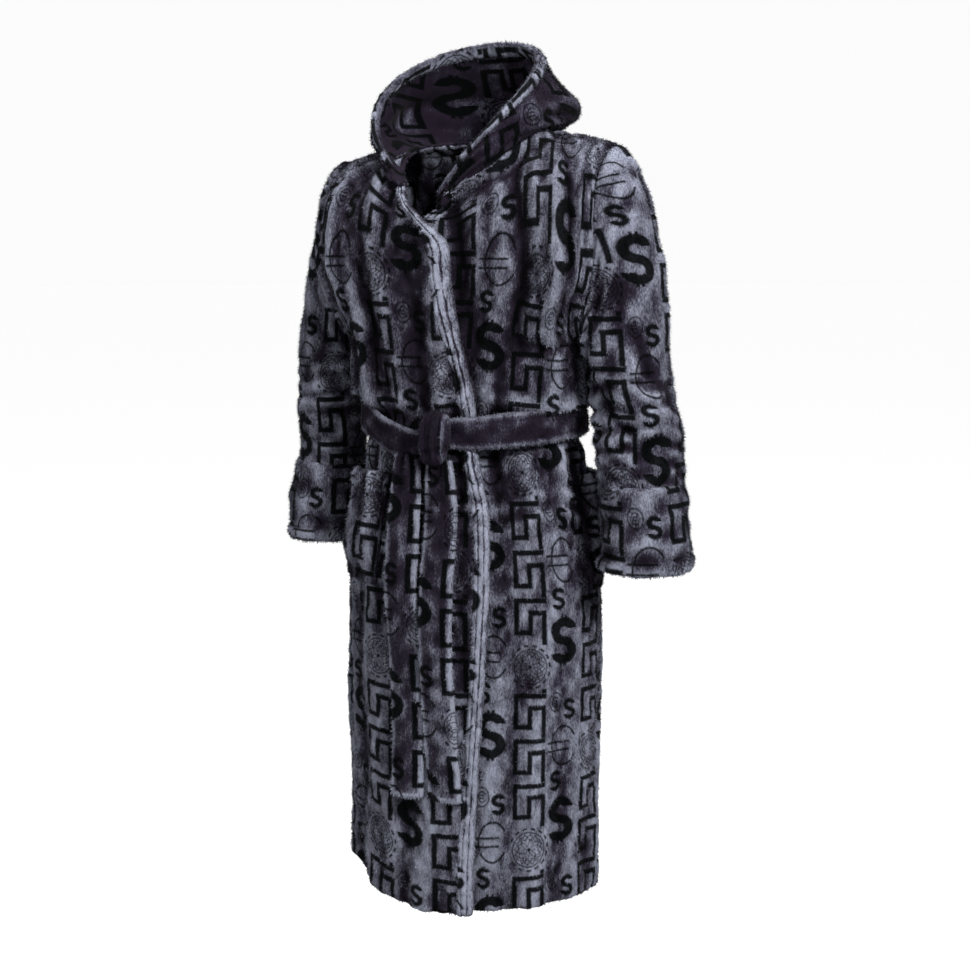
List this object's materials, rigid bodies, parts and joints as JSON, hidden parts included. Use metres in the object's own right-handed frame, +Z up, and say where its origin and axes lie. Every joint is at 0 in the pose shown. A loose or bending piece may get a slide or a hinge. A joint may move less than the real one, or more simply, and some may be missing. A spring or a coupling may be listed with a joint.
{
  "type": "bathrobe",
  "caption": "Long hooded plush bathrobe with a wrap front, tied belt, patch pockets and turned-back cuffs, shown as worn.",
  "frame": {"origin": "the neck point: middle of the neck at the height where the shoulder seams meet the hood", "axes": "+Z up, the front faces -Y, +X is the wearer's left"},
  "size_m": [0.708, 0.3565, 1.3528],
  "materials": {
    "printed_plush": "flannel fleece pile, mottled grey-lavender and plum with a near-black print",
    "folded_band": "the same fleece folded double and stitched down",
    "belt_plush": "the same fleece, sewn as a flat belt",
    "tape": "dark woven tape"
  },
  "bodies": {
    "robe_body": {"back_panel": "printed_plush", "left_front_panel": "printed_plush", "right_front_panel": "printed_plush", "left_pocket": "printed_plush", "right_pocket": "printed_plush", "left_front_band": "folded_band", "right_front_band": "folded_band", "left_pocket_band": "folded_band", "right_pocket_band": "folded_band", "belt_wrap": "belt_plush", "belt_knot": "belt_plush", "left_belt_loop": "tape", "right_belt_loop": "tape", "hanger_loop": "tape"},
    "left_arm": {"left_sleeve": "printed_plush", "left_cuff": "printed_plush"},
    "right_arm": {"right_sleeve": "printed_plush", "right_cuff": "printed_plush"},
    "hood": {"hood_left": "printed_plush", "hood_left_band": "folded_band", "hood_right": "printed_plush", "hood_right_band": "folded_band"},
    "tail_front": {"belt_tail_front": "belt_plush"},
    "tail_back": {"belt_tail_back": "belt_plush"}
  },
  "joints": [
    {"name": "left_sleeve_lift", "type": "hinge", "parent": "robe_body", "child": "left_arm", "pos_m": [0.2442, 0, 0.008], "axis": [0, -1, 0], "range_deg": [0, 35]},
    {"name": "right_sleeve_lift", "type": "hinge", "parent": "robe_body", "child": "right_arm", "pos_m": [-0.2442, 0, -0.02], "axis": [0, 1, 0], "range_deg": [0, 35]},
    {"name": "hood_lift", "type": "hinge", "parent": "robe_body", "child": "hood", "pos_m": [0, -0.138, -0.07], "axis": [1, 0, 0], "range_deg": [0, 18]},
    {"name": "tail_front_swing", "type": "hinge", "parent": "robe_body", "child": "tail_front", "pos_m": [0.018, -0.1425, -0.4742], "axis": [-1, 0, 0], "range_deg": [0, 60]},
    {"name": "tail_back_swing", "type": "hinge", "parent": "robe_body", "child": "tail_back", "pos_m": [-0.042, -0.1425, -0.4742], "axis": [-1, 0, 0], "range_deg": [0, 60]}
  ]
}
